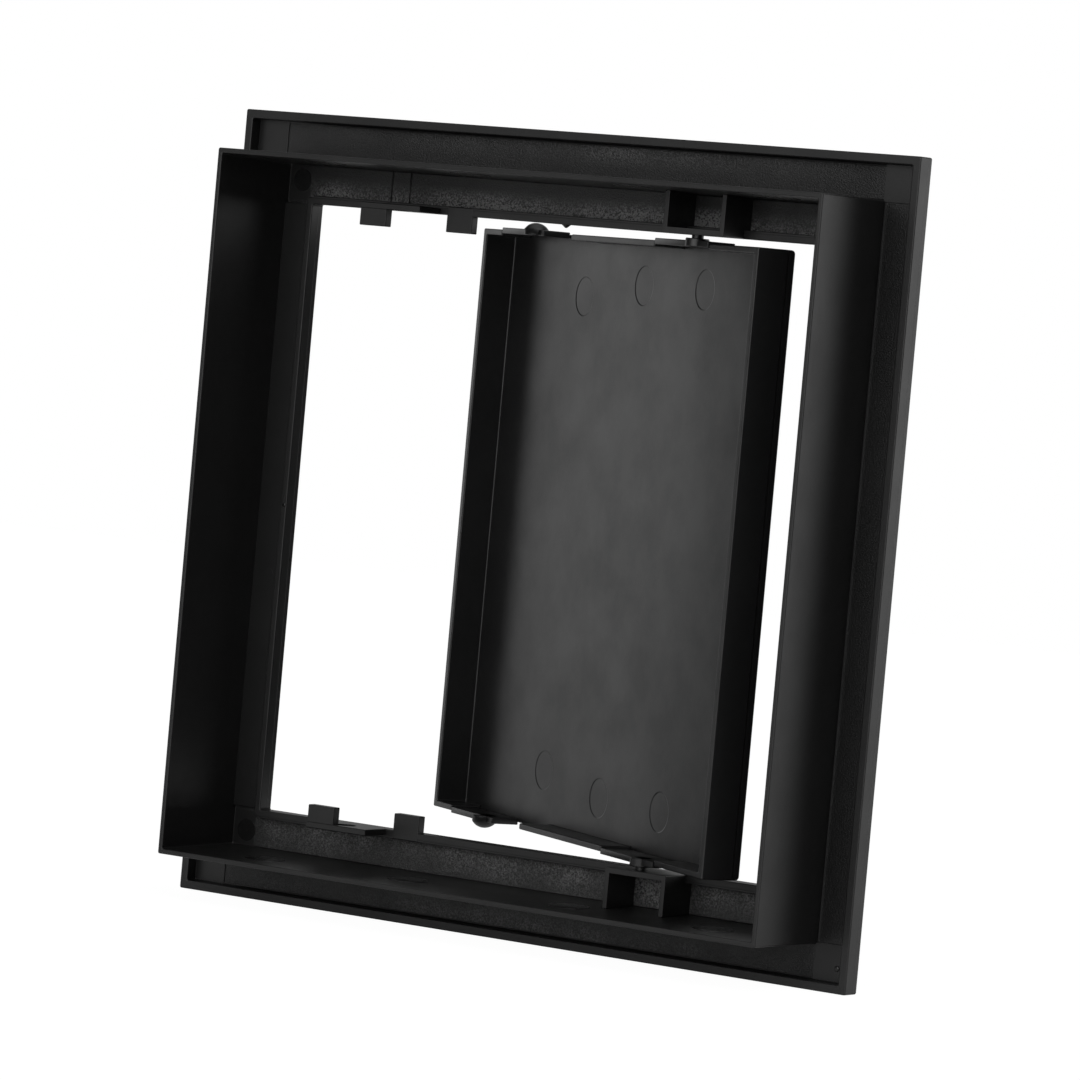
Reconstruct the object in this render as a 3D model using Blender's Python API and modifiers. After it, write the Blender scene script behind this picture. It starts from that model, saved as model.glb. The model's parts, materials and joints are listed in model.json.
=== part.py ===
# Square plastic access panel: a face frame with a collar, and a door that turns on two moulded pins.
# Metres. The panel stands upright: +Z is up, the room is on the -Y side and the wall void on the +Y side.
# The origin is the centre of the opening, on the plane where the flange's rear rim meets the wall.

import math

import bmesh
import bpy
from mathutils import Matrix, Vector

# Frame: collar, and the face flange round it
COLLAR_WIDTH = 0.1960          # outer square of the collar, which fits the wall's cut-out
COLLAR_REACH = 0.0273          # length of the collar behind the wall plane
COLLAR_WALL = 0.0014           # wall at the collar's rear edge
COLLAR_DRAFT = 0.0008          # how much thicker the wall is at its root
FLANGE_LAND = 0.0120           # flange outside the collar, each side
FLANGE_DEPTH = 0.0059          # from the rim's rear edge to the flat front
RIM_WIDTH = 0.0024             # wall of the rim that touches the wall surface
SHELL = 0.0019                 # thickness of the flange's web
CORNER_PAD = 0.0003            # step of the channel's corner squares above its sides

# Frame: ledge and lip round the opening
LEDGE_WIDTH = 0.0131           # from the collar's outside in to the opening's edge
LIP_HEIGHT = 0.0052            # lip's rear face above the frame's front plane
LIP_WIDTH = 0.0024             # width of the lip above and below the opening
SIDE_LIP_WIDTH = 0.0019        # width of the lip at the sides
LEDGE_RISE = 0.0011            # side ledges above the floor of the upper and lower bands
EDGE = 0.0003                  # small edge break of the mouldings

# Door: a shallow tray
SIDE_GAP = 0.0013              # opening's edge to the shut door, at the sides
END_GAP = 0.0021               # the same above and below
PLATE = 0.0022                 # thickness of the door's plate
WALL_HEIGHT = 0.0092           # door walls above the plate
SIDE_WALL = 0.0022
END_WALL = 0.0017
CORNER_BREAK = 0.0009          # edge break on the door's outside, so that it swings past the lip

# Hinge: axis upright, near one side of the opening
HINGE_INSET = 0.0389           # hinge axis from that side's edge
HINGE_DEPTH = 0.0077           # hinge axis above the door plate's rear face
OPEN_NOW = math.radians(30.0)  # how far the door stands open at rest
PIN_RADIUS = 0.0016
PIN_CLEARANCE = 0.0002
PIN_BOSS_RADIUS = 0.0032
PIN_BOSS_STEP = 0.0006         # boss stands this far outside its flap
PIN_TIP_GAP = 0.0003           # pin's end short of the web's outer face

# Hinge brackets on the frame
BRACKET_REACH = 0.0092         # how far brackets and shelves reach behind the wall plane
RIB_THICK = 0.0014
RIB_PITCH = 0.0179             # distance between the two ribs' centres
RIB_OFFSET = -0.00165          # bracket's centre from the hinge axis
WEB_THICK = 0.0016

# Flaps cut out of the door's end walls
SLOT = 0.0010                  # gap at a flap's foot and at its free end
FLAP_PROUD = 0.0006            # flaps stand this far outside the wall
PIN_FLAP_REACH = 0.0090        # free end past the hinge axis
PIN_FLAP_ROOT = 0.0220         # root from the hinge axis, towards the latch
CORNER_POST = 0.0121           # end wall left standing between the door's far side and the latch flap
LATCH_FLAP_LENGTH = 0.0270
NOTCH_LENGTH = 0.0175          # wall left out past the latch flap's free end, round the lip stop

# Catch: a dome on each latch flap and a hole in each keeper
CATCH_RADIUS = 0.00355
CATCH_INSET = 0.0068           # dome's centre from the flap's free end
CATCH_BELOW_RIM = 0.0009       # dome's centre below the door's rim
CATCH_BITE = 0.0004            # how far the dome reaches into the keeper
CATCH_HOLE_RADIUS = 0.0029

# Latch keepers and stops
KEEPER_WIDTH = 0.0200
KEEPER_THICK = 0.0017
STOP_WIDTH = 0.0088
STOP_THICK = 0.0028
STOP_DROP = 0.0047             # how far the stops reach into the opening
LIP_STOP_WIDTH = 0.0085
LIP_STOP_THICK = 0.0027
LIP_STOP_SPACE = 0.0056        # from the lip stop to the latch flap's free end
STOP_PLAY = 0.0007             # closed door's rim in front of the keeper's stop

FIT = 0.0003                   # gap between pieces that touch
OVERRUN = 0.0020               # how far a cutter runs past what it cuts
TURNS = 32                     # sides of round pieces

# Distances from the centre, and planes across Y, worked out from the sizes above
HALF_COLLAR = COLLAR_WIDTH / 2
HALF_FLANGE = HALF_COLLAR + FLANGE_LAND
HALF_OPENING = HALF_COLLAR - LEDGE_WIDTH
HALF_DOOR = HALF_OPENING - SIDE_GAP
HALF_HEIGHT = HALF_OPENING - END_GAP
COLLAR_ROOT = HALF_COLLAR - COLLAR_WALL - COLLAR_DRAFT
RIM_INNER = HALF_FLANGE - RIM_WIDTH
FRONT_Y = -FLANGE_DEPTH
FLOOR_Y = FRONT_Y + SHELL
LEDGE_Y = FLOOR_Y + LEDGE_RISE
LIP_Y = FRONT_Y + LIP_HEIGHT
PLATE_Y = FRONT_Y + PLATE

# The hinge, and places along the door counted from it towards the latch
HINGE_X = HINGE_INSET - HALF_OPENING
HINGE_Y = PLATE_Y + HINGE_DEPTH
RIM_UP = WALL_HEIGHT - HINGE_DEPTH
DOOR_START = -HALF_DOOR - HINGE_X
DOOR_END = HALF_DOOR - HINGE_X
PIN_FLAP_END = -PIN_FLAP_REACH
LATCH_FLAP_ROOT = DOOR_END - CORNER_POST
LATCH_FLAP_END = LATCH_FLAP_ROOT - LATCH_FLAP_LENGTH
NOTCH_END = LATCH_FLAP_END - NOTCH_LENGTH
CATCH_ALONG = LATCH_FLAP_END + CATCH_INSET
PIN_TIP = HALF_OPENING + WEB_THICK - PIN_TIP_GAP
CATCH_TIP = HALF_OPENING + CATCH_BITE
CATCH_UP = RIM_UP - CATCH_BELOW_RIM

# Brackets, keepers and stops on the frame
BRACKET_BASE = LIP_Y + FIT
CATCH_X = HINGE_X + CATCH_ALONG
CATCH_Y = HINGE_Y + CATCH_UP
KEEPER_START = CATCH_X - KEEPER_WIDTH / 2
RIM_STOP_Y = PLATE_Y + WALL_HEIGHT + STOP_PLAY
LIP_STOP_START = HINGE_X + LATCH_FLAP_END - LIP_STOP_SPACE - LIP_STOP_WIDTH


def clear_scene():
    for item in list(bpy.data.objects):
        bpy.data.objects.remove(item, do_unlink=True)


def make_collection(name):
    collection = bpy.data.collections.new(name)
    bpy.context.scene.collection.children.link(collection)
    return collection


def plastic(name, colour, roughness):
    material = bpy.data.materials.new(name)
    material.use_nodes = True
    shader = material.node_tree.nodes["Principled BSDF"]
    shader.inputs["Base Color"].default_value = (*colour, 1.0)
    shader.inputs["Roughness"].default_value = roughness
    shader.inputs["Metallic"].default_value = 0.0
    return material


def add_object(name, mesh, material=None, parent=None):
    """A named part of the panel, or a cutting tool when it has no material."""
    item = bpy.data.objects.new(name, mesh)
    if material is None:
        TOOLS.objects.link(item)
        item.hide_render = True
        item.display_type = "WIRE"
    else:
        PARTS.objects.link(item)
        mesh.materials.append(material)
    item.parent = parent
    return item


def mesh_from(name, shape):
    bmesh.ops.recalc_face_normals(shape, faces=shape.faces)
    mesh = bpy.data.meshes.new(name)
    shape.to_mesh(mesh)
    shape.free()
    return mesh


def box(name, low, high, material=None, parent=None):
    """A box between two corners, in any order."""
    low, high = Vector(low), Vector(high)
    shape = bmesh.new()
    bmesh.ops.create_cube(shape, size=1.0)
    size = high - low
    bmesh.ops.scale(shape, vec=[abs(value) for value in size], verts=shape.verts)
    bmesh.ops.translate(shape, vec=(low + high) / 2, verts=shape.verts)
    return add_object(name, mesh_from(name, shape), material, parent)


def prism(name, outline, along, low, high, material=None, parent=None):
    """A flat outline pushed along one axis. The outline's two numbers are the other two axes in order."""
    shape = bmesh.new()
    corners = []
    for first, second in outline:
        point = [first, second]
        point.insert("XYZ".index(along), low)
        corners.append(shape.verts.new(point))
    face = shape.faces.new(corners)
    pushed = bmesh.ops.extrude_face_region(shape, geom=[face])
    step = [0.0, 0.0, 0.0]
    step["XYZ".index(along)] = high - low
    moved = [item for item in pushed["geom"] if isinstance(item, bmesh.types.BMVert)]
    bmesh.ops.translate(shape, vec=step, verts=moved)
    return add_object(name, mesh_from(name, shape), material, parent)


def turned(name, profile, place, side, material=None, parent=None):
    """A profile of (radius, height) points, turned about an upright axis. side -1 points it down."""
    mesh = bpy.data.meshes.new(name)
    points = [(radius, 0.0, height) for radius, height in profile]
    links = [(index, index + 1) for index in range(len(points) - 1)]
    mesh.from_pydata(points, links, [])
    item = add_object(name, mesh, material, parent)
    item.location = place
    item.rotation_euler.x = 0.0 if side > 0 else math.pi
    screw = item.modifiers.new("turn", "SCREW")
    screw.axis = "Z"
    screw.steps = TURNS
    screw.render_steps = TURNS
    screw.use_merge_vertices = True
    screw.merge_threshold = 0.00001
    screw.use_smooth_shade = False
    screw.use_normal_flip = True
    return item


def combine(target, operation, other):
    change = target.modifiers.new(other.name, "BOOLEAN")
    change.operation = operation
    change.solver = "EXACT"
    change.object = other
    return target


def soften(target, width):
    bevel = target.modifiers.new("edge break", "BEVEL")
    bevel.width = width
    bevel.segments = 1
    bevel.limit_method = "ANGLE"
    bevel.angle_limit = math.radians(50)
    bevel.use_clamp_overlap = True
    return target


def frame_section():
    """The frame's section as (distance from the centre, Y), once around, clockwise."""
    collar_inner = HALF_COLLAR - COLLAR_WALL
    pad_y = FLOOR_Y + CORNER_PAD
    return [
        (HALF_FLANGE - EDGE, 0.0),
        (HALF_FLANGE, -EDGE),
        (HALF_FLANGE, FRONT_Y + EDGE),
        (HALF_FLANGE - EDGE, FRONT_Y),
        (HALF_OPENING + EDGE, FRONT_Y),
        (HALF_OPENING, FRONT_Y + EDGE),
        (HALF_OPENING, LIP_Y - EDGE),
        (HALF_OPENING + EDGE, LIP_Y),
        (HALF_OPENING + SIDE_LIP_WIDTH, LIP_Y),
        (HALF_OPENING + SIDE_LIP_WIDTH, FLOOR_Y),
        (COLLAR_ROOT, FLOOR_Y),
        (collar_inner, COLLAR_REACH - EDGE),
        (collar_inner + EDGE, COLLAR_REACH),
        (HALF_COLLAR - EDGE, COLLAR_REACH),
        (HALF_COLLAR, COLLAR_REACH - EDGE),
        (HALF_COLLAR, pad_y),
        (RIM_INNER, pad_y),
        (RIM_INNER, -EDGE),
        (RIM_INNER + EDGE, 0.0),
    ]


def build_frame(material):
    """A Screw in four steps carries the section round a square and mitres its corners."""
    section = frame_section()
    mesh = bpy.data.meshes.new("frame_moulding")
    points = [(across, depth, across) for across, depth in section]
    links = [(index, (index + 1) % len(points)) for index in range(len(points))]
    mesh.from_pydata(points, links, [])
    frame = add_object("frame_moulding", mesh, material)
    screw = frame.modifiers.new("four sides", "SCREW")
    screw.axis = "Y"
    screw.steps = 4
    screw.render_steps = 4
    screw.use_merge_vertices = True
    screw.merge_threshold = 0.00001
    screw.use_smooth_shade = False
    screw.use_normal_flip = True

    for name, turn in (("right", 0), ("top", 90), ("left", 180), ("bottom", 270)):
        channel = box("cut_channel_" + name, (HALF_COLLAR + EDGE, FLOOR_Y, -HALF_COLLAR),
                      (RIM_INNER - EDGE, FLOOR_Y + OVERRUN, HALF_COLLAR))
        channel.matrix_world = Matrix.Rotation(math.radians(turn), 4, "Y")
        combine(frame, "DIFFERENCE", channel)
    for name, side in (("left", -1), ("right", 1)):
        ledge = box("add_ledge_" + name,
                    (side * (HALF_OPENING + SIDE_LIP_WIDTH / 2), FLOOR_Y - SHELL / 2, -HALF_OPENING),
                    (side * (COLLAR_ROOT + COLLAR_WALL / 2), LEDGE_Y, HALF_OPENING))
        combine(frame, "UNION", ledge)
    for name, side in (("top", 1), ("bottom", -1)):
        lip = box("add_lip_" + name,
                  (-HALF_OPENING, FLOOR_Y - SHELL / 2, side * (HALF_OPENING + SIDE_LIP_WIDTH / 2)),
                  (HALF_OPENING, LIP_Y - EDGE / 2, side * (HALF_OPENING + LIP_WIDTH)))
        combine(frame, "UNION", lip)
    return frame


def build_bracket(name, side, material):
    """Two ribs and a web in one U outline, cut away where it stands over the lip."""
    centre = HINGE_X + RIB_OFFSET
    outer = RIB_PITCH / 2 + RIB_THICK / 2
    inner = RIB_PITCH / 2 - RIB_THICK / 2
    near = side * HALF_OPENING
    web = side * (HALF_OPENING + WEB_THICK)
    far = side * (COLLAR_ROOT - FIT)
    outline = [
        (centre - outer, near), (centre + outer, near), (centre + outer, far), (centre + inner, far),
        (centre + inner, web), (centre - inner, web), (centre - inner, far), (centre - outer, far),
    ]
    bracket = prism("hinge_bracket_" + name, outline, "Y", FLOOR_Y + FIT, BRACKET_REACH, material)
    over_lip = box("cut_lip_" + name, (centre - outer - OVERRUN, FLOOR_Y, near - side * OVERRUN),
                   (centre + outer + OVERRUN, BRACKET_BASE, side * (HALF_OPENING + LIP_WIDTH + FIT)))
    combine(bracket, "DIFFERENCE", over_lip)
    hole_radius = PIN_RADIUS + PIN_CLEARANCE
    past = WEB_THICK + OVERRUN
    ends = [(0, -OVERRUN), (hole_radius, -OVERRUN), (hole_radius, past), (0, past)]
    hole = turned("cut_pivot_" + name, ends, (HINGE_X, HINGE_Y, near), side)
    combine(bracket, "DIFFERENCE", hole)
    return bracket


def build_keeper(name, side, material):
    """A shelf level with the lip, with the catch hole."""
    near = side * HALF_OPENING
    far = side * (HALF_OPENING + KEEPER_THICK)
    shelf = box("latch_keeper_" + name, (KEEPER_START, BRACKET_BASE, near),
                (KEEPER_START + KEEPER_WIDTH, BRACKET_REACH, far), material)
    soften(shelf, EDGE / 2)
    radius = CATCH_HOLE_RADIUS
    past = KEEPER_THICK + OVERRUN
    ends = [(0, -OVERRUN), (radius, -OVERRUN), (radius, past), (0, past)]
    hole = turned("cut_catch_" + name, ends, (CATCH_X, CATCH_Y, near), side)
    combine(shelf, "DIFFERENCE", hole)
    return shelf


def build_stops(name, side, material):
    """The rim stop hangs from the keeper, the lip stop from the lip; both end the closing swing."""
    root = side * (HALF_OPENING - FIT)
    end = side * (HALF_OPENING - STOP_DROP)
    far = KEEPER_START + KEEPER_WIDTH
    rim_stop = box("rim_stop_" + name, (far - STOP_WIDTH, RIM_STOP_Y, end),
                   (far, RIM_STOP_Y + STOP_THICK, root), material)
    lip_stop = box("lip_stop_" + name, (LIP_STOP_START, LIP_Y - LIP_STOP_THICK, end),
                   (LIP_STOP_START + LIP_STOP_WIDTH, LIP_Y, root), material)
    soften(rim_stop, EDGE / 2)
    soften(lip_stop, EDGE / 2)


def tray_block(low, high):
    """The tray's outer block: rounded corners and front edges, sharp at the rear rim."""
    shape = bmesh.new()
    bmesh.ops.create_cube(shape, size=1.0)
    low, high = Vector(low), Vector(high)
    bmesh.ops.scale(shape, vec=high - low, verts=shape.verts)
    bmesh.ops.translate(shape, vec=(low + high) / 2, verts=shape.verts)
    middle = (low.y + high.y) / 2
    edges = [edge for edge in shape.edges if any(vert.co.y < middle for vert in edge.verts)]
    bmesh.ops.bevel(shape, geom=edges, offset=CORNER_BREAK, segments=2, profile=0.5, affect="EDGES")
    return mesh_from("door_tray", shape)


def build_door(axis, material):
    """The tray, in the closed door's own axes with the hinge axis at their origin."""
    face = -HINGE_DEPTH - PLATE
    block = tray_block((DOOR_START, face, -HALF_HEIGHT), (DOOR_END, RIM_UP, HALF_HEIGHT))
    tray = add_object("door_tray", block, material, axis)
    hollow = box("cut_hollow", (DOOR_START + SIDE_WALL, -HINGE_DEPTH, -HALF_HEIGHT + END_WALL),
                 (DOOR_END - SIDE_WALL, RIM_UP + OVERRUN, HALF_HEIGHT - END_WALL), parent=axis)
    combine(tray, "DIFFERENCE", hollow)
    gaps = (("pin", PIN_FLAP_END - SLOT, PIN_FLAP_ROOT), ("latch", NOTCH_END, LATCH_FLAP_ROOT))
    for name, side in (("top", 1), ("bottom", -1)):
        for use, start, end in gaps:
            gap = box("cut_" + use + "_gap_" + name,
                      (start, -HINGE_DEPTH, side * (HALF_HEIGHT - END_WALL - OVERRUN)),
                      (end, RIM_UP + OVERRUN, side * (HALF_HEIGHT + OVERRUN)), parent=axis)
            combine(tray, "DIFFERENCE", gap)
    return tray


def build_flap(name, free_end, root_end, side, axis, material):
    """A springy strip of end wall that bends about its root; the root carries its own axes."""
    root = bpy.data.objects.new(name + "_root", None)
    PARTS.objects.link(root)
    root.parent = axis
    root.location = (root_end, 0.0, side * (HALF_HEIGHT + FLAP_PROUD - END_WALL))
    flap = box(name, (free_end - root_end, SLOT - HINGE_DEPTH, 0.0), (-FIT, RIM_UP, side * END_WALL),
               material, root)
    return flap


def build_pin_flap(name, side, axis, material):
    """Flap, round boss and pivot pin."""
    flap = build_flap("pin_flap_" + name, PIN_FLAP_END, PIN_FLAP_ROOT, side, axis, material)
    inside = HALF_HEIGHT + FLAP_PROUD - END_WALL
    boss_end = END_WALL + PIN_BOSS_STEP
    tip = PIN_TIP - inside
    profile = [(0, 0), (PIN_BOSS_RADIUS, 0), (PIN_BOSS_RADIUS, boss_end),
               (PIN_RADIUS, boss_end), (PIN_RADIUS, tip - EDGE), (PIN_RADIUS - EDGE, tip), (0, tip)]
    pin = turned("add_pin_" + name, profile, (-PIN_FLAP_ROOT, 0.0, 0.0), side, parent=flap.parent)
    combine(flap, "UNION", pin)
    return flap


def build_latch_flap(name, side, axis, material):
    """Flap with a dome near its free end that snaps into the keeper's hole."""
    flap = build_flap("latch_flap_" + name, LATCH_FLAP_END, LATCH_FLAP_ROOT, side, axis, material)
    inside = HALF_HEIGHT + FLAP_PROUD - END_WALL
    tip = CATCH_TIP - inside
    rise = tip - END_WALL
    ball = (CATCH_RADIUS ** 2 + rise ** 2) / (2 * rise)
    reach = math.asin(CATCH_RADIUS / ball)
    steps = 6
    profile = [(0, 0), (CATCH_RADIUS, 0)]
    for step in range(steps):
        angle = reach * (1 - step / steps)
        profile.append((ball * math.sin(angle), tip - ball * (1 - math.cos(angle))))
    profile.append((0, tip))
    place = (CATCH_ALONG - LATCH_FLAP_ROOT, CATCH_UP, 0.0)
    dome = turned("add_dome_" + name, profile, place, side, parent=flap.parent)
    combine(flap, "UNION", dome)
    stop_side = KEEPER_START + KEEPER_WIDTH - STOP_WIDTH - HINGE_X - LATCH_FLAP_ROOT - SLOT / 2
    relief = box("cut_dome_" + name, (stop_side, RIM_UP, -side * OVERRUN),
                 (stop_side + 2 * CATCH_RADIUS, RIM_UP + 2 * CATCH_RADIUS, side * (tip + OVERRUN)),
                 parent=flap.parent)
    combine(flap, "DIFFERENCE", relief)
    return flap


clear_scene()
PARTS = make_collection("access_panel")
TOOLS = make_collection("cutters")
frame_black = plastic("frame_plastic", (0.012, 0.012, 0.013), 0.48)
door_black = plastic("door_plastic", (0.013, 0.013, 0.014), 0.42)

build_frame(frame_black)
for end, direction in (("top", 1), ("bottom", -1)):
    build_bracket(end, direction, frame_black)
    build_keeper(end, direction, frame_black)
    build_stops(end, direction, frame_black)

door_axis = bpy.data.objects.new("door_axis", None)
PARTS.objects.link(door_axis)
door_axis.location = (HINGE_X, HINGE_Y, 0.0)
door_axis.rotation_euler = (0.0, 0.0, -OPEN_NOW)
build_door(door_axis, door_black)
for end, direction in (("top", 1), ("bottom", -1)):
    build_pin_flap(end, direction, door_axis, door_black)
    build_latch_flap(end, direction, door_axis, door_black)
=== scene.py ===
# %% [markdown]
# # A plastic access panel, seen from behind
# The object is the kind of square hatch that hides a stopcock behind a tiled wall. It is two
# black injection mouldings: a frame with a deep collar, and a tray-shaped door that swings on two
# pins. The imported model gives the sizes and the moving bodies. This script gives the mouldings
# their continuous surfaces, their tiny rounded edges and the finish of the tool steel they came
# from.

import json
import math

import bpy
import numpy as np
from mathutils import Matrix, Vector
from mathutils.geometry import tessellate_polygon


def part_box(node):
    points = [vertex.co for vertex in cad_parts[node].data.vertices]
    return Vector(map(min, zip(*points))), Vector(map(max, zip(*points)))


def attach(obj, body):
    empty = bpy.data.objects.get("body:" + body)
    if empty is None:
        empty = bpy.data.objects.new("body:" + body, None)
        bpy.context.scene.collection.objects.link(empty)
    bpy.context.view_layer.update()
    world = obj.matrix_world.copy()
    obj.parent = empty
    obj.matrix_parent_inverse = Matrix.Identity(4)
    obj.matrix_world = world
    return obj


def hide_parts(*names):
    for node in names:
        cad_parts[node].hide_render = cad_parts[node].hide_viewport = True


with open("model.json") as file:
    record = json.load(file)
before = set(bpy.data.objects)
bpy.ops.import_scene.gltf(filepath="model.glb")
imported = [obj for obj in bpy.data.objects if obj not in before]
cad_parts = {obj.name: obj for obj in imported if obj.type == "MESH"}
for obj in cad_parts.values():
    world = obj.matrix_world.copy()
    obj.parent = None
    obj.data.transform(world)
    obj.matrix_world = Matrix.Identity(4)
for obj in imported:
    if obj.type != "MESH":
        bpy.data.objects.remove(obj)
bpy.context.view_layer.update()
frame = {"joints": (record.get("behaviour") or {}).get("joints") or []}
mm = 0.001

# %% [markdown]
# ## Sizes
# The outer sizes, the hinge and the places of ribs, shelves and stops come from the packed
# solids. A solid's box doesn't show the frame's section, so its sizes are written out here. X
# runs across the panel towards the latch, Y from the room into the wall and Z up.
#
# The door's own pieces are drawn as if it were shut, because then all its walls run along the
# axes. One turn about the hinge brings them to the open pose in which the solids were packed.

# %% Read the sizes
frame_low, frame_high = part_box("frame_moulding")
half_flange = frame_high.x
front_y = frame_low.y
collar_reach = frame_high.y

hinge = next(joint for joint in frame["joints"] if joint["name"] == "door_hinge")
hinge_x, hinge_y, _ = hinge["pos_m"]
open_now = math.radians(-hinge["range_deg"][0])

half_collar = 98.0 * mm
half_opening = 84.9 * mm
collar_wall, collar_draft = 1.4 * mm, 0.8 * mm
collar_root = half_collar - collar_wall - collar_draft
rim_inner = half_flange - 2.4 * mm
floor_y = front_y + 1.9 * mm
lip_y = front_y + 5.2 * mm
ledge_y = floor_y + 1.1 * mm
lip_width, side_lip_width = 2.4 * mm, 1.9 * mm

# How deep a block reaches into the moulding it belongs to, and a hair that keeps two of its faces
# out of one plane.
sunk, hair = 0.5 * mm, 0.02 * mm
sides = (-1, 1)
ends = (("top", 1), ("bottom", -1))
flange_size, whole_depth = 2 * half_flange, collar_reach - front_y
print("flange", round(flange_size / mm, 1), "mm, depth", round(whole_depth / mm, 1), "mm")

# %% [markdown]
# ## Shader maths
# A material's maths reads best as an expression. The class below wraps one output socket, so that
# a * 0.5 + b adds the two Math nodes for it.

# %% Wrap the node tree
class Wire:
    """One output socket, with arithmetic."""

    def __init__(self, tree, socket):
        self.tree, self.socket = tree, socket

    def node(self, kind, settings=None, inputs=None, output=0):
        """Adds a node, sets its options first and then its sockets, and wraps one of its
        outputs."""
        made = self.tree.nodes.new(kind)
        for key, value in (settings or {}).items():
            setattr(made, key, value)
        for key, value in (inputs or {}).items():
            if isinstance(value, Wire):
                self.tree.links.new(value.socket, made.inputs[key])
            else:
                made.inputs[key].default_value = value
        return Wire(self.tree, made.outputs[output] if made.outputs else None)

    def math(self, operation, other=0.0):
        return self.node("ShaderNodeMath", {"operation": operation}, {0: self, 1: other})

    def __add__(self, other):
        return self.math("ADD", other)

    def __sub__(self, other):
        return self.math("SUBTRACT", other)

    def __mul__(self, other):
        return self.math("MULTIPLY", other)

    def __rsub__(self, other):
        return self * -1.0 + other

    def __abs__(self):
        return self.math("ABSOLUTE")

    __radd__ = __add__
    __rmul__ = __mul__

    def spread(self, low, high, to_low=0.0, to_high=1.0):
        """Maps low..high to to_low..to_high, with both ends held."""
        inputs = {0: self, 1: low, 2: high, 3: to_low, 4: to_high}
        return self.node("ShaderNodeMapRange", {"clamp": True}, inputs)

    def noise(self, scale, detail, roughness):
        """Noise at the wrapped points, with so many features to the metre."""
        inputs = {"Vector": self, "Scale": scale, "Detail": detail, "Roughness": roughness}
        return self.node("ShaderNodeTexNoise", {"noise_dimensions": "3D"}, inputs)

    def blend(self, first, second):
        """Mixes two colours by the wrapped value."""
        inputs = {"Factor": self, "A": first, "B": second}
        return self.node("ShaderNodeMix", {"data_type": "RGBA"}, inputs, output=2)


# %% [markdown]
# ## Black plastic
# Both mouldings are the same black plastic, coloured right through. What differs is the tool's
# surface: a fine spark-eroded grain on the frame, and a smoother, glossier face on the door, with
# faint cloudiness where the plastic flowed. On the frame's recessed floors the grain is coarser,
# and patches of painted highlight stand for the glints of the light that falls on it there.

# %% Make the plastics
def eroded_floor_and_glint(where):
    """The frame's floors: where they are, the height of their pits and the share of painted
    highlight, the glints of the light on their grain. Each factor is a ramp between two places, in
    the frame's own directions."""
    across, depth, up = (where.node("ShaderNodeSeparateXYZ", None, {"Vector": where}, output=axis)
                         for axis in range(3))
    off_axis, off_middle = abs(across), abs(up)

    # Only the surface at the floor's own depth.
    floor = depth.spread(floor_y + 0.02 * mm, floor_y + 0.05 * mm, 1.0, 0.0)
    floor = floor * depth.spread(floor_y - 0.1 * mm, floor_y - 0.05 * mm)

    # Pits, shallower in the channels left and right of the collar.
    pits = where.noise(1.0 / (0.5 * mm), 4.0, 0.65)
    pits = pits * off_axis.spread(97.0 * mm, 99.0 * mm, 1.0, 0.4)

    # The bands above and below the opening: painted highlight, stronger in the upper band and near
    # the lip, fading towards the collar, whose wall shades the bands.
    band = up.spread(93.0 * mm, 87.5 * mm, 0.0, 1.0)
    band = band * off_middle.spread(96.5 * mm, 97.5 * mm, 1.0, 0.0)
    band = band * off_middle.spread(96.0 * mm, 90.0 * mm, 0.25, 1.0)
    band = band * up.spread(-80.0 * mm, 80.0 * mm, 0.7, 1.6)
    band = band * off_middle.spread(84.0 * mm, 85.0 * mm)

    # Between the two ribs of a hinge bracket the painted highlight is stronger still, where the
    # light falls in.
    pocket = abs(across - hinge_x).spread(7.0 * mm, 7.5 * mm, 2.0, 1.0)

    # The channels above and below the collar: painted highlight, brightest near the outer rim and a
    # little off their middle, where the light's glints fall.
    channel = off_middle.spread(101.0 * mm, 105.0 * mm, 0.0, 0.55)
    glint_spread = abs(across + 8.0 * mm).spread(15.0 * mm, 65.0 * mm, 1.0, 0.3)

    # None at the sides; the painted glints come in patches of some 14 mm and specks of some 0.4 mm.
    side = off_axis.spread(84.0 * mm, 92.0 * mm, 1.0, 0.0)
    patch = where.noise(1.0 / (14.0 * mm), 2.0, 0.5).spread(0.38, 0.62, 0.55, 1.3)
    speck = where.noise(1.0 / (0.42 * mm), 3.0, 0.6).spread(0.40, 0.72)
    # Painted highlight: glints of light on the floors' grain, lightening the colour towards grey.
    painted_glint = speck * patch * (band * pocket * 1.2 + channel * glint_spread) * side * floor
    return floor, floor * pits, painted_glint


def black_plastic(name, base, rough, grain, cloud, coat, eroded_and_glinting=False):
    """Broad noise clouds the colour and the gloss, fine noise is the grain, and a thin coat whose
    weight varies is the skin that the polished tool leaves."""
    material = bpy.data.materials.new(name)
    material.use_nodes = True
    tree = material.node_tree
    shader = tree.nodes["Principled BSDF"]
    shader.inputs["IOR"].default_value = 1.5
    shader.inputs["Coat Roughness"].default_value = 0.3
    where = Wire(tree, tree.nodes.new("ShaderNodeTexCoord").outputs["Object"])
    fine = where.noise(1.0 / (0.6 * mm), 3.0, 0.6)
    broad = where.noise(22.0, 3.0, 0.55)
    darker, lighter = ((*[value * share for value in base], 1.0) for share in (0.85, 1.2))
    tint = broad.blend(darker, lighter)
    gloss = rough + (broad - 0.5) * cloud + (fine - 0.5) * 0.08
    height = fine * grain
    if eroded_and_glinting:
        floor, pits, painted_glint = eroded_floor_and_glint(where)
        height = height + pits * 1.7
        # The floors' painted highlight lightens the colour towards mid grey.
        tint = painted_glint.blend(tint, (0.18, 0.18, 0.18, 1.0))
        gloss = gloss - floor * 0.08
    film = where.noise(55.0, 4.0, 0.6).spread(0.35, 0.65) * coat
    bump = where.node("ShaderNodeBump", None,
                      {"Strength": 1.0, "Distance": 0.15 * mm, "Height": height})
    for wire, socket in ((tint, "Base Color"), (gloss, "Roughness"), (film, "Coat Weight"),
                         (bump, "Normal")):
        tree.links.new(wire.socket, shader.inputs[socket])
    return material


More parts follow.
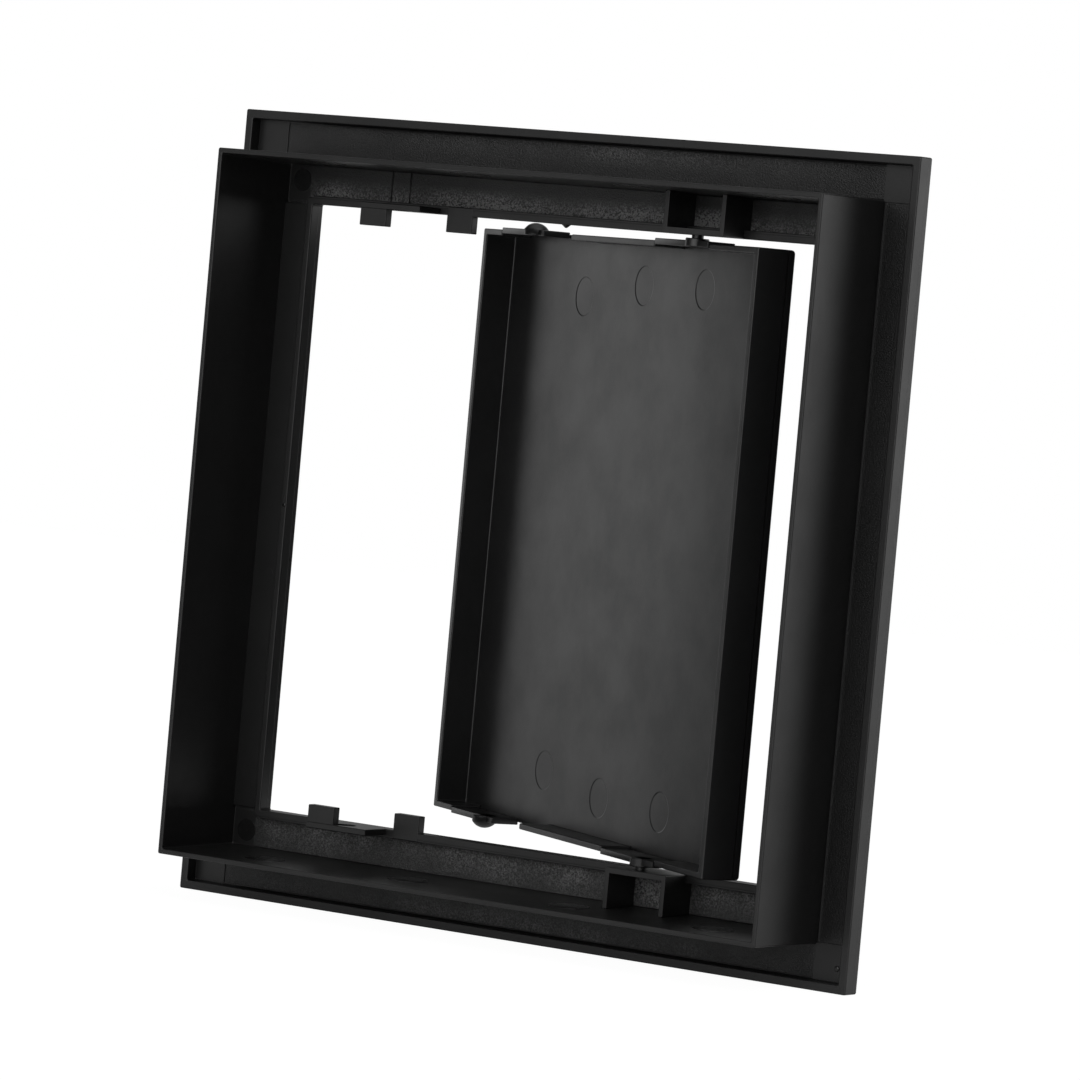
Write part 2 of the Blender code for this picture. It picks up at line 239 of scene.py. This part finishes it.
# Base colour, then roughness, grain, cloudiness and coat.
frame_base, door_base = (0.007, 0.007, 0.007), (0.007, 0.007, 0.0072)
materials = {
    "frame_plastic": black_plastic("frame_black", frame_base, 0.40, 0.10, 0.06, 0.15, eroded_and_glinting=True),
    "frame_plastic_polished": black_plastic("frame_polished", frame_base, 0.22, 0.05, 0.03, 0.1),
    "door_plastic": black_plastic("door_black", door_base, 0.33, 0.08, 0.08, 0.25),
}
print("materials:", sorted(materials))

# %% [markdown]
# ## From arrays to meshes
# A moulded shape here is a stack of rings: the same number of points in each ring, and a face
# between every four neighbours. A stack whose last ring joins its first is a closed tube, such as
# the frame. A stack with a flat cap at each end is a block, such as a rib. Shells that belong to
# one moulding go into one mesh.

# %% Build helpers
round_points = 48
circle_angle = np.linspace(0, 2 * np.pi, round_points, endpoint=False)


def stack(rings, looped=False, open_top=False):
    """Vertices and faces of a stack of rings, an array (rings, points, 3). A stack that isn't
    looped has its ends capped, apart from a top that is left open."""
    count, around, _ = rings.shape
    index = np.arange(count * around).reshape(count, around)
    upper = np.roll(index, -1, axis=0) if looped else index[1:]
    lower = index if looped else index[:-1]
    faces = np.stack([lower, np.roll(lower, -1, 1), np.roll(upper, -1, 1), upper], axis=-1)
    faces = faces.reshape(-1, 4).tolist()
    if not looped:
        faces += [index[0, ::-1].tolist()] + ([] if open_top else [index[-1].tolist()])
    return rings.reshape(-1, 3), faces


def fillet(corners, radius, steps=3):
    """Rounds a closed outline. Each corner becomes an arc whose centre lies on the corner's
    bisector, radius / sin(half angle) away, and that meets both sides radius / tan(half angle)
    from the corner. At share s of the turn t the arc is (sin((1 - s) t) start + sin(s t) end) /
    sin t."""
    corners = np.asarray(corners, float)
    radius = np.broadcast_to(np.asarray(radius, float), len(corners))[:, None]
    back = np.roll(corners, 1, 0) - corners
    ahead = np.roll(corners, -1, 0) - corners
    back /= np.linalg.norm(back, axis=1, keepdims=True)
    ahead /= np.linalg.norm(ahead, axis=1, keepdims=True)
    half = np.arccos(np.clip((back * ahead).sum(1, keepdims=True), -1, 1)) / 2
    middle = back + ahead
    middle /= np.linalg.norm(middle, axis=1, keepdims=True)
    centre = corners + middle * radius / np.sin(half)
    start = (corners + back * radius / np.tan(half) - centre)[:, None]
    end = (corners + ahead * radius / np.tan(half) - centre)[:, None]
    turn = (np.pi - 2 * half)[:, None]
    share = np.linspace(0, 1, steps + 1)[None, :, None]
    arc = (np.sin((1 - share) * turn) * start + np.sin(share * turn) * end) / np.sin(turn)
    return (centre[:, None] + arc).reshape(-1, 2)


def inset(outline, distance):
    """Moves every side of a counter-clockwise outline inwards: a corner moves along the sum of
    the two sides' normals, divided by one plus their dot product."""
    side = np.roll(outline, -1, 0) - outline
    normal = np.stack([-side[:, 1], side[:, 0]], 1) / np.linalg.norm(side, axis=1, keepdims=True)
    before = np.roll(normal, 1, 0)
    shift = (normal + before) / (1 + (normal * before).sum(1, keepdims=True))
    return outline + shift * distance


def place(flat, height, axis):
    """Puts outline points (first, second) and a height along an axis into space."""
    flat = np.asarray(flat, float)
    height = np.broadcast_to(height, len(flat))
    order = {"X": (2, 0, 1), "Y": (0, 2, 1), "Z": (0, 1, 2)}[axis]
    return np.column_stack([flat, height])[:, order]


def on(side, near, far):
    """A pair of limits on one side of the middle."""
    return side * near, side * far


def outline_of(first, second):
    """A rectangle's corners, counter-clockwise, from two pairs of limits in any order."""
    (a, b), (c, d) = sorted(first), sorted(second)
    return np.array([(a, c), (b, c), (b, d), (a, d)], float)


def block(outline, limits, axis, edge=0.2 * mm, corner=0.25 * mm, steps=4):
    """An outline pushed along an axis. Its end edges are quarter rounds: the ring at angle t is
    inset by edge * (1 - sin t) and stands edge * (1 - cos t) inside the end."""
    low, high = sorted(limits)
    outline = np.asarray(outline, float)
    following = np.roll(outline, -1, 0)
    area = np.sum(outline[:, 0] * following[:, 1] - following[:, 0] * outline[:, 1])
    if area < 0:
        outline = outline[::-1]
    outline = fillet(outline, corner) if corner else outline
    angle = np.linspace(0, np.pi / 2, steps + 1) if edge else np.zeros(1)
    depth = edge * (1 - np.cos(angle))
    shrink = edge * (1 - np.sin(angle))
    heights = np.concatenate([low + depth, (high - depth)[::-1]])
    shrink = np.concatenate([shrink, shrink[::-1]])
    rings = np.stack([place(inset(outline, s), h, axis) for s, h in zip(shrink, heights)])
    if axis == "Y":
        rings = rings[::-1]
    return stack(rings)


def box_block(x, y, z, axis="Y", **settings):
    """A rounded block between three pairs of limits."""
    pairs = {"X": (y, z, x), "Y": (x, z, y), "Z": (x, y, z)}[axis]
    return block(outline_of(pairs[0], pairs[1]), pairs[2], axis, **settings)


def pierced(first, second, limits, centre, radius, edge=0.2 * mm):
    """A level rectangular plate with a round hole. A ring at the hole has the point centre +
    radius * direction; a ring at the rim has the point where the same direction meets the
    rectangle. The directions start a hair off the axis, so that none of them falls on a
    corner's."""
    low, high = sorted(limits)
    (a, b), (c, d) = sorted(first), sorted(second)
    centre = np.asarray(centre, float)
    corner = np.arctan2(np.array([c, c, d, d]) - centre[1], np.array([a, b, b, a]) - centre[0])
    angle = np.linspace(-np.pi, np.pi, round_points, endpoint=False) + 0.01
    angle = np.sort(np.concatenate([angle, corner]))
    way = np.column_stack([np.cos(angle), np.sin(angle)])

    def rim(shrink):
        reach_x = np.where(way[:, 0] > 0, b - shrink - centre[0], centre[0] - a - shrink)
        reach_y = np.where(way[:, 1] > 0, d - shrink - centre[1], centre[1] - c - shrink)
        with np.errstate(divide="ignore"):
            reach = np.minimum(reach_x / np.abs(way[:, 0]), reach_y / np.abs(way[:, 1]))
        return centre + way * reach[:, None]

    def hole(size):
        return centre + way * size

    rings = [(hole(radius), low + edge), (hole(radius + edge), low), (rim(edge), low),
             (rim(0), low + edge), (rim(0), high - edge), (rim(edge), high),
             (hole(radius + edge), high), (hole(radius), high - edge)]
    return stack(np.stack([place(flat, height, "Z") for flat, height in rings]), looped=True)


def lathe(profile, centre, side=1):
    """A profile of (radius, height) turned about an upright line through centre; side -1 points
    it down."""
    profile = np.asarray(profile, float)
    angle = circle_angle * side
    rings = np.stack([
        profile[:, :1] * np.cos(angle), profile[:, :1] * np.sin(angle),
        np.repeat(profile[:, 1:] * side, round_points, 1)], axis=-1)
    return stack(rings + np.asarray(centre, float))


def mark(centre, normal, radius, rise=0.1 * mm, bulge=0.0):
    """The round print of an ejector pin: a disc that stands slightly proud of a surface. Its rim
    is rounded by about its rise, and its foot lies just under the surface. With a bulge its top
    is a shallow dome, a parabola of that height."""
    normal = np.asarray(normal, float) / np.linalg.norm(normal)
    first = np.cross(normal, (0.0, 0.0, 1.0) if abs(normal[2]) < 0.9 else (1.0, 0.0, 0.0))
    first /= np.linalg.norm(first)
    second = np.cross(normal, first)
    circle = np.cos(circle_angle)[:, None] * first + np.sin(circle_angle)[:, None] * second
    profile = [(radius, -0.1 * mm), (radius, 0.3 * rise), (radius - 0.3 * rise, 0.8 * rise),
               (radius - rise, rise)]
    if bulge:
        profile += [((radius - rise) * share, rise + bulge * (1 - share * share))
                    for share in np.linspace(1, 0.02, 12)[1:]]
    rings = [np.asarray(centre) + size * circle + height * normal for size, height in profile]
    return stack(np.stack(rings))


def cove(foot, first, second, radius, limits, axis, steps=6):
    """A hollow quarter round in an inside corner. The two directions run along the two surfaces.
    The arc is foot + radius * ((1 - cos t) * first + (1 - sin t) * second), and the whole outline
    is shifted a little into the corner."""
    foot, first, second = (np.asarray(value, float) for value in (foot, first, second))
    angle = np.linspace(0, np.pi / 2, steps + 1)[:, None]
    arc = foot + radius * (first + second - np.cos(angle) * first - np.sin(angle) * second)
    under = 0.05 * mm * (first + second)
    return block(np.concatenate([[foot - under], arc - under]), limits, axis, edge=0, corner=0)


def turned_open(points):
    """Turns points about the hinge from the shut door to the pose in which the solids were
    packed."""
    c, s = math.cos(open_now), math.sin(open_now)
    along, depth, up = points.T
    return np.column_stack([hinge_x + along * c + depth * s, hinge_y - along * s + depth * c, up])


def piece(name, shells, body, slot, replaced, swing=False, smooth=None, polished=()):
    """One mesh object from several shells, riding on a body and standing for CAD nodes. The faces
    of the polished shells come last and take a second material."""
    plain_faces = sum(len(shell[1]) for shell in shells)
    shells = [*shells, *polished]
    points = np.concatenate([shell[0] for shell in shells])
    starts = np.cumsum([0] + [len(shell[0]) for shell in shells])
    faces = [[vertex + int(start) for vertex in face]
             for shell, start in zip(shells, starts) for face in shell[1]]
    if swing:
        points = turned_open(points)
    mesh = bpy.data.meshes.new(name)
    mesh.from_pydata(points.tolist(), [], faces)
    mesh.update()
    mesh.materials.append(materials[slot])
    if polished:
        mesh.materials.append(materials[slot + "_polished"])
        index = (np.arange(len(faces)) >= plain_faces).astype(np.int32)
        mesh.polygons.foreach_set("material_index", index)
    item = bpy.data.objects.new(name, mesh)
    bpy.context.scene.collection.objects.link(item)
    if smooth is not None:
        mesh.shade_smooth()
        mesh.set_sharp_from_angle(angle=math.radians(smooth))
    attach(item, body)
    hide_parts(*replaced)
    print(name, len(mesh.polygons), "faces")


# %% [markdown]
# ## The frame
# One section, carried round a square, is flange, rim, lip and collar at once. Real mouldings have
# no knife edges: the corners are rounded by a few tenths of a millimetre, and those narrow rounds
# are the thin light lines that draw the object's edges in the photo. Blocks add the side ledges,
# the wider lips at top and bottom, and low pads in the corners of the channel and of the bands.
#
# The tool left its traces too: round prints where pins pushed the moulding out, a stub where the
# plastic flowed in, and the lines where two pieces of steel met.

# %% Build the frame
collar_inner = half_collar - collar_wall
section = np.array([
    (half_flange, 0.0), (half_flange, front_y), (half_opening, front_y), (half_opening, lip_y),
    (half_opening + side_lip_width, lip_y), (half_opening + side_lip_width, floor_y),
    (collar_root, floor_y), (collar_inner, collar_reach), (half_collar, collar_reach),
    (half_collar, floor_y), (rim_inner, floor_y), (rim_inner, 0.0)])
rounding = np.array([0.3, 0.4, 0.35, 0.25, 0.25, 0.2, 0.4, 0.3, 0.3, 0.4, 0.8, 0.3]) * mm


def carried(profile, corner=0.5 * mm, steps=4):
    """Carries (distance, y) points round a square. The ring of a point at distance d is a square
    of half width d whose corners are arcs of the given radius."""
    angle = np.linspace(0, np.pi / 2, steps + 1)
    turns = np.arange(4)[:, None] * np.pi / 2
    arc = np.stack([np.cos(turns + angle), np.sin(turns + angle)], -1).reshape(-1, 2)
    quarter = np.repeat(np.array([(1, 1), (-1, 1), (-1, -1), (1, -1)], float), steps + 1, axis=0)
    distance = profile[:, 0][:, None, None]
    flat = quarter * (distance - corner) + arc * corner
    depth = np.broadcast_to(profile[:, 1][:, None], flat.shape[:2])
    return stack(np.stack([flat[..., 0], depth, flat[..., 1]], -1), looped=True)


opening = (-half_opening, half_opening)
lip_middle = half_opening + side_lip_width / 2
pad_limits = (half_collar - sunk, rim_inner + sunk)
pad_top = floor_y + 0.3 * mm
shells = [carried(fillet(section, rounding))]
for side in sides:
    ledge = on(side, lip_middle, collar_root + collar_wall / 2)
    shells.append(box_block(ledge, (floor_y - sunk, ledge_y), opening))
    lip = on(side, lip_middle, half_opening + lip_width)
    shells.append(box_block(opening, (floor_y - sunk, lip_y - 0.05 * mm), lip))
    for other in sides:
        shells.append(box_block(on(side, *pad_limits), (floor_y - sunk, pad_top),
                                on(other, *pad_limits), edge=0.1 * mm))

# Prints on the collar's upper and lower walls, which lean by the draft.
wall_prints = ((69.4, 15.7), (23.3, 12.4), (-30.9, 14.2), (-77.1, 14.8))
wall_print_radius, wall_print_bulge = 5.7 * mm, 0.3 * mm
wall_slope = collar_draft / (collar_reach - floor_y)
marks = []
for print_x, print_y in wall_prints:
    reach = collar_root + (print_y * mm - floor_y) * wall_slope
    for side in sides:
        marks.append(mark((print_x * mm, print_y * mm, side * reach), (0, wall_slope, -side),
                          wall_print_radius, bulge=wall_print_bulge))

# Low pads at the bands' ends, each with a print.
backwards = (0, 1, 0)
band_limits = (half_opening + 1.0 * mm, collar_root + sunk)
band_pad_start, band_pad_top = 88.4 * mm, floor_y + 0.06 * mm
pad_print_x, pad_print_z, pad_print_radius = 91.3 * mm, 91.4 * mm, 3.1 * mm
for side in sides:
    for other in sides:
        shells.append(box_block(on(side, band_pad_start, collar_root + sunk),
                                (floor_y - sunk, band_pad_top), on(other, *band_limits),
                                edge=0.04 * mm))
        marks.append(mark((side * pad_print_x, band_pad_top, other * pad_print_z), backwards,
                          pad_print_radius, rise=0.04 * mm))

# Small marks: a nub on the side lip, a ring on the ledge below it and a dot in a corner of the
# channel. Then the gate's stub on the opening's upper edge, and two fine lines on the upper band.
marks.append(mark((85.7 * mm, lip_y, 0.7 * mm), backwards, 0.6 * mm, rise=0.25 * mm))
shells.append(mark((90.6 * mm, ledge_y, -18.9 * mm), backwards, 1.4 * mm, rise=0.05 * mm))
marks.append(mark((-104.7 * mm, pad_top, -103.8 * mm), backwards, 0.8 * mm, rise=0.4 * mm))
gate = [(1.4 * mm, -0.3 * mm), (1.3 * mm, 0.0), (0.6 * mm, 0.6 * mm), (0.25 * mm, 0.9 * mm)]
shells.append(lathe(gate, (0.7 * mm, -2.6 * mm, half_opening), -1))
for line_x in (60.5, 54.3):
    marks.append(box_block(((line_x - 0.2) * mm, (line_x + 0.2) * mm),
                           (floor_y - 0.3 * mm, floor_y + 0.25 * mm), band_limits,
                           edge=0.18 * mm, corner=0.05 * mm))
piece("panel_frame", shells, "frame", "frame_plastic", ["frame_moulding"], polished=marks)

# %% [markdown]
# ## Hinge brackets
# Behind the opening's upper and lower edges stand two ribs, joined by a web with the pivot hole.
# The ribs rise from the recessed band and lean on the collar, so they can't tear off when the
# door is pulled.

# %% Build the brackets
rib, web, pivot_radius = 1.4 * mm, 1.6 * mm, 1.8 * mm
bracket_foot = 0.2 * mm
for name, side in ends:
    low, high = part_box("hinge_bracket_" + name)
    height = on(side, half_opening, collar_root + 0.3 * mm)
    shells = [box_block((start, start + rib), (floor_y - bracket_foot, high.y), height,
                        edge=0.15 * mm) for start in (low.x, high.x - rib)]
    shells.append(pierced((low.x + rib / 2, high.x - rib / 2),
                          (lip_y - bracket_foot, high.y - hair),
                          on(side, half_opening + hair, half_opening + web),
                          (hinge_x, hinge_y), pivot_radius, edge=0.1 * mm))
    piece("hinge_bracket_look_" + name, shells, "frame", "frame_plastic", ["hinge_bracket_" + name])

# %% [markdown]
# ## Latch keepers and stops
# Opposite the hinge, a shelf with a round hole catches the door's dome. A block under the shelf
# stops the door's rim, and a second block on the lip stops its plate.

# %% Build the keepers
catch_centre, catch_radius = (51.3 * mm, 4.6 * mm), 2.9 * mm
shelf_top = half_opening + 1.7 * mm
stop_reach = half_opening - 4.7 * mm
for name, side in ends:
    low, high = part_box("latch_keeper_" + name)
    shelf = pierced((low.x, high.x), (lip_y - 0.3 * mm, high.y), on(side, half_opening, shelf_top),
                    catch_centre, catch_radius)
    low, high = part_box("rim_stop_" + name)
    rim_stop = box_block((low.x, high.x - hair), (low.y, high.y - hair),
                         on(side, stop_reach, half_opening + 0.8 * mm))
    low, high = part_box("lip_stop_" + name)
    lip_stop = box_block((low.x, high.x), (low.y, lip_y + 0.1 * mm),
                         on(side, stop_reach, half_opening + 2.3 * mm))
    piece("latch_keeper_look_" + name, [shelf, rim_stop, lip_stop], "frame", "frame_plastic",
          ["latch_keeper_" + name, "rim_stop_" + name, "lip_stop_" + name])

# %% [markdown]
# ## The door
# A plate with a wall all round. The wall is left out where the springy flaps and the lip stops
# need room, so it comes in four stretches: a C at each side, and a straight length at top and
# bottom. The foot of the walls is filled by a small hollow round, and the plate carries six
# prints. X and Y count from the hinge here.

# %% Build the door
door_left, door_right = -37.6 * mm, 129.6 * mm
half_height = 82.8 * mm
side_wall, end_wall = 2.2 * mm, 1.7 * mm
plate_back, plate_front = -7.7 * mm, -9.9 * mm
rim_up = 1.5 * mm
slot_gap, proud = 1.0 * mm, 0.6 * mm
pin_flap_end, pin_flap_root = -9.0 * mm, 22.0 * mm
latch_flap_end, latch_flap_root = 90.5 * mm, 117.5 * mm
notch_end = 73.0 * mm


def print_cup(centre, radius, depth=0.12 * mm):
    """The print of an ejector pin in the plate: a shallow cup with a soft rim, open at the top.
    The profile gives how far inside the rim each ring lies, and what share of the depth it
    sinks."""
    profile = [(0.4 * mm, 1.0), (0.3 * mm, 0.9), (0.1 * mm, 0.25), (0.0, 0.0)]
    rings = [np.column_stack([centre[0] + (radius - inward) * np.cos(circle_angle),
                              np.full(round_points, plate_back - sink * depth),
                              centre[1] + (radius - inward) * np.sin(circle_angle)])
             for inward, sink in profile]
    return stack(np.stack(rings)[:, ::-1], open_top=True)


def plate_shells(edge_round, prints, radius, steps=4):
    """The plate: its front edges are rounded more than a moulding's usual edge, so that it swings
    free. Its rear face is one flat sheet with round holes, filled by the cups of the prints."""
    outline = outline_of((door_left, door_right), (-half_height, half_height))
    outline = fillet(outline, 1.0 * mm, 4)
    angle = np.linspace(0, np.pi / 2, steps + 1)
    heights = np.append(plate_front + edge_round * (1 - np.cos(angle)), plate_back)
    shrink = np.append(edge_round * (1 - np.sin(angle)), 0.0)
    rings = np.stack([place(inset(outline, s)[::-1], h, "Y") for s, h in zip(shrink, heights)])
    cups = [print_cup(centre, radius) for centre in prints]
    loops = [rings[-1]] + [cup[0].reshape(-1, round_points, 3)[-1] for cup in cups]
    flat = [[Vector((x, z, 0.0)) for x, _, z in loop] for loop in loops]
    sheet = (np.concatenate(loops), [list(face) for face in tessellate_polygon(flat)])
    return [stack(rings, open_top=True), sheet] + cups


def c_wall(outer, inner, tip):
    """Outline of one side wall with the two short end walls that turn its corners."""
    return np.array([
        (outer, -half_height), (tip, -half_height), (tip, -half_height + end_wall),
        (inner, -half_height + end_wall), (inner, half_height - end_wall),
        (tip, half_height - end_wall), (tip, half_height), (outer, half_height)])


wall = (plate_back, rim_up)
wall_edge = 0.35 * mm
rounds = {"edge": wall_edge, "corner": 1.2 * wall_edge}
inner_left, inner_right = door_left + side_wall, door_right - side_wall
inner_half = half_height - end_wall
left_tip = pin_flap_end - slot_gap
prints = [(x * mm, z * mm) for x, z in
          ((80, 66), (44, 70.3), (8, 70.6), (79, -66.6), (44, -70.4), (7.5, -70))]
shells = plate_shells(1.0 * mm, prints, 5.6 * mm)
shells.append(block(c_wall(door_right, inner_right, latch_flap_root), wall, "Y", **rounds))
shells.append(block(c_wall(door_left, inner_left, left_tip), wall, "Y", **rounds))
for side in sides:
    shells.append(box_block((pin_flap_root, notch_end), wall, on(side, inner_half, half_height),
                            **rounds))

foot = 0.45 * mm
span = (-inner_half, inner_half)
shells.append(cove((inner_right, plate_back), (-1, 0), (0, 1), foot, span, "Z"))
shells.append(cove((inner_left, plate_back), (1, 0), (0, 1), foot, span, "Z"))
stretches = ((inner_left, left_tip), (pin_flap_root, notch_end), (latch_flap_root, inner_right))
for side in sides:
    for stretch in stretches:
        shells.append(cove((plate_back, side * inner_half), (1, 0), (0, -side), foot, stretch, "X"))
piece("door_look", shells, "door", "door_plastic", ["door_tray"], swing=True)

# %% [markdown]
# ## Flaps, pins and domes
# The plastic itself is the spring. A strip of end wall that is free on three sides carries the
# pivot pin, and bends inwards when the door is put in. A second strip carries the dome of the
# catch. The quarter of the dome that would meet the rim stop is cut back to the rim.

# %% Build the flaps
def cut_back(points, axis, corner):
    """Takes a quarter out of a turned shape. A point beyond the corner in both directions moves
    towards the axis, to where its ray enters the quarter: at the larger of the two shares corner
    / point."""
    axis = np.asarray(axis, float)
    beyond = np.maximum(points[:, :2] - axis, 1e-9)
    share = np.max((np.asarray(corner) - axis) / beyond, axis=1, keepdims=True)
    return np.column_stack([axis + (points[:, :2] - axis) * np.minimum(share, 1.0), points[:, 2]])


# The dome is the cap of a ball that stands dome_rise proud of the flap: with the radius r of its
# foot, the ball's radius is (r^2 + rise^2) / (2 rise).
soft = 0.2 * mm
boss_radius, pin_radius = 3.2 * mm, 1.6 * mm
boss_top = end_wall + 0.6 * mm
dome_axis, dome_radius = (97.3 * mm, 0.6 * mm), 3.55 * mm
inside = half_height + proud - end_wall
pin_tip = half_opening + web - 0.3 * mm - inside
dome_tip = half_opening + 0.4 * mm - inside
dome_rise = dome_tip - end_wall
ball = (dome_radius ** 2 + dome_rise ** 2) / (2 * dome_rise)
angle = math.asin(dome_radius / ball) * np.linspace(1, 0.04, 9)
cap = np.column_stack([ball * np.sin(angle), dome_tip - ball * (1 - np.cos(angle))])
dome_profile = np.concatenate([[(dome_radius - soft, 0), (dome_radius, soft)], cap])
pin_profile = [
    (boss_radius - soft, 0), (boss_radius, soft), (boss_radius, boss_top - soft),
    (boss_radius - soft, boss_top), (pin_radius, boss_top), (pin_radius, pin_tip - soft),
    (pin_radius - soft, pin_tip)]
relief_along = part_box("rim_stop_top")[0].x - hinge_x - slot_gap / 2
root_overlap = 0.05 * mm
flap_depth = (plate_back + slot_gap, rim_up)
for name, side in ends:
    strip = on(side, inside, inside + end_wall)
    flap = box_block((pin_flap_end, pin_flap_root + root_overlap), flap_depth, strip)
    pin = lathe(pin_profile, (0, 0, side * inside), side)
    piece("pin_flap_look_" + name, [flap, pin], "pin_flap_" + name + "_body", "door_plastic",
          ["pin_flap_" + name], swing=True, smooth=40)

    flap = box_block((latch_flap_end, latch_flap_root + root_overlap), flap_depth, strip)
    points, faces = lathe(dome_profile, (*dome_axis, side * inside), side)
    dome = (cut_back(points, dome_axis, (relief_along, rim_up)), faces)
    piece("latch_flap_look_" + name, [flap, dome], "latch_flap_" + name + "_body", "door_plastic",
          ["latch_flap_" + name], swing=True, smooth=40)

# %% [markdown]
# ## Camera
# The photo was taken from behind and to the right of the panel, with a long lens. Its place and
# turn were fitted to the corners of flange, collar, opening and door.

# %% Place the camera
camera_place = (-0.90599, 1.34487, 0.06663)
yaw, pitch, roll = math.radians(-33.92), math.radians(2.38), math.radians(-5.08)
axes = Matrix(((-1, 0, 0), (0, 0, 1), (0, 1, 0)))
turn = axes
for angle, axis in ((yaw, "Y"), (pitch, "X"), (roll, "Z")):
    turn = turn @ Matrix.Rotation(-angle, 3, axis)
camera_data = bpy.data.cameras.new("camera")
camera_data.lens = 199.6
camera_data.sensor_width = 36.0
camera_data.clip_end = 50.0
camera = bpy.data.objects.new("camera", camera_data)
bpy.context.scene.collection.objects.link(camera)
camera.matrix_world = Matrix.Translation(camera_place) @ turn.to_4x4()
bpy.context.scene.camera = camera
print("camera", round(camera.matrix_world.translation.length, 2), "m from the panel")

# %% [markdown]
# ## Light
# The panel was photographed in a white studio. Black glossy plastic shows little but reflections,
# so the tones in the photo told where the studio is bright. Each bright area here is a lobe: a
# smooth patch of light round one direction. The strongest is straight behind the panel, where the
# camera stands too. Others are in front on the right, on the left, high up on the right and
# overhead. Two weak ones are behind on the left and, as a backdrop, in front on the left. Left
# and right are the photo's. The camera itself sees plain white.

# %% Light the studio
world = bpy.data.worlds.new("studio_world")
bpy.context.scene.world = world
world.use_nodes = True
tree = world.node_tree
tree.nodes.clear()
sky = Wire(tree, tree.nodes.new("ShaderNodeTexCoord").outputs["Generated"])
white = (1.0, 1.0, 1.0, 1.0)


def lobe(azimuth, height, outer, inner, strength):
    """Light round one direction, full inside one angle and gone outside another. The azimuth in
    degrees runs from straight behind the panel towards its latch side, in the plan seen from
    above."""
    a, h = math.radians(azimuth), math.radians(height)
    way = (math.sin(a) * math.cos(h), math.cos(a) * math.cos(h), math.sin(h))
    settings = {"operation": "DOT_PRODUCT"}
    near = sky.node("ShaderNodeVectorMath", settings, {0: sky, 1: way}, output=1)
    start, end = math.cos(math.radians(outer)), math.cos(math.radians(inner))
    inputs = {0: near, 1: start, 2: end, 3: 0.0, 4: strength}
    return near.node("ShaderNodeMapRange", {"interpolation_type": "SMOOTHSTEP"}, inputs)


# Azimuth, height, outer and inner angle in degrees, and strength.
lobes = ((100, 0, 22, 0, 0.9), (214, 0, 38, 0, 1.27), (45, 25, 30, 0, 0.21), (0, 10, 38, 0, 2.07),
         (300, 45, 45, 0, 0.71), (0, 90, 50, 0, 0.6), (150, 0, 48, 36, 0.4))
light = lobe(*lobes[0])
for row in lobes[1:]:
    light = light + lobe(*row)
studio = light.node("ShaderNodeBackground", None, {"Color": light, "Strength": 1.0})
seen = light.node("ShaderNodeBackground", None, {"Color": white, "Strength": 1.0})
camera_ray = light.node("ShaderNodeLightPath")
choice = light.node("ShaderNodeMixShader", None, {0: camera_ray, 1: studio, 2: seen})
light.node("ShaderNodeOutputWorld", None, {"Surface": choice})
print("lobes:", len(lobes))

# %% [markdown]
# ## Floor
# A pale floor that the panel stands on. To the camera it adds just enough light of its own to be
# as white as the wall behind, and it keeps the panel's soft shadow.

# %% Lay the floor
half_floor, floor_top = 1.6, -half_flange - 0.1 * mm
corners = [(x * half_floor, y * half_floor, floor_top)
           for x, y in ((-1, -1), (1, -1), (1, 1), (-1, 1))]
mesh = bpy.data.meshes.new("floor")
mesh.from_pydata(corners, [], [(0, 1, 2, 3)])
floor = bpy.data.objects.new("floor", mesh)
bpy.context.scene.collection.objects.link(floor)
material = bpy.data.materials.new("floor_paint")
material.use_nodes = True
tree = material.node_tree
tree.nodes.clear()
camera_ray = Wire(tree, tree.nodes.new("ShaderNodeLightPath").outputs["Is Camera Ray"])


def paint(level, glow):
    """Matt grey paint with a glow of its own."""
    matt = camera_ray.node("ShaderNodeBsdfDiffuse", None, {"Color": (level, level, level, 1.0)})
    shine = camera_ray.node("ShaderNodeEmission", None, {"Color": white, "Strength": glow})
    return camera_ray.node("ShaderNodeAddShader", None, {0: matt, 1: shine})


plain, seen = paint(0.8, 0.12), paint(0.1, 0.97)
choice = camera_ray.node("ShaderNodeMixShader", None, {0: camera_ray, 1: plain, 2: seen})
camera_ray.node("ShaderNodeOutputMaterial", None, {"Surface": choice})
mesh.materials.append(material)

bpy.context.scene.view_settings.view_transform = "Standard"
print("floor at", round(floor_top / mm, 1), "mm")
